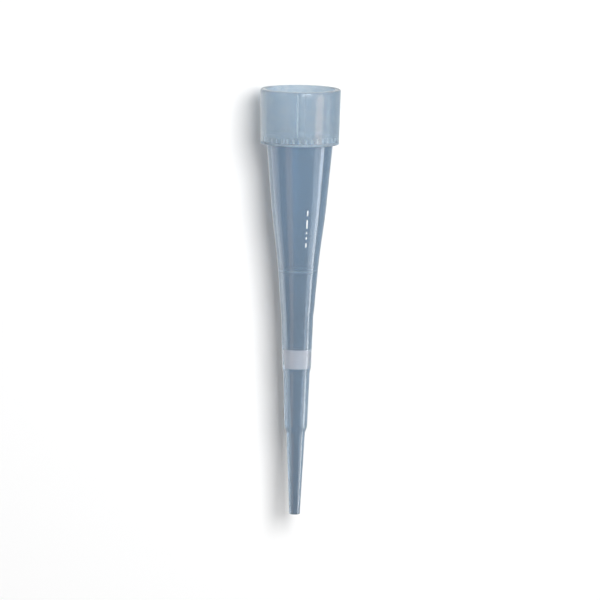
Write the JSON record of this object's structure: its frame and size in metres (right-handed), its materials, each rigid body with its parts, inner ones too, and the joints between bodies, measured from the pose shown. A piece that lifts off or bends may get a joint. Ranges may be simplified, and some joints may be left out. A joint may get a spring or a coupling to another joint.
{
  "type": "pipette tip",
  "caption": "Long conical plastic pipette tip with a smooth collar, a stepped shank and a fine point, standing on its rim.",
  "frame": {"origin": "on the tip's axis, at the face of the collar's rim, which it stands on", "axes": "+Z along the tip's axis from the rim up to the orifice, -Y towards the front, where the row of ticks is, 19 degrees to -X"},
  "size_m": [0.006, 0.006, 0.0315],
  "materials": {
    "translucent_plastic": "natural moulded polypropylene, translucent, satin"
  },
  "bodies": {
    "root": {"tip": "translucent_plastic"}
  },
  "joints": []
}
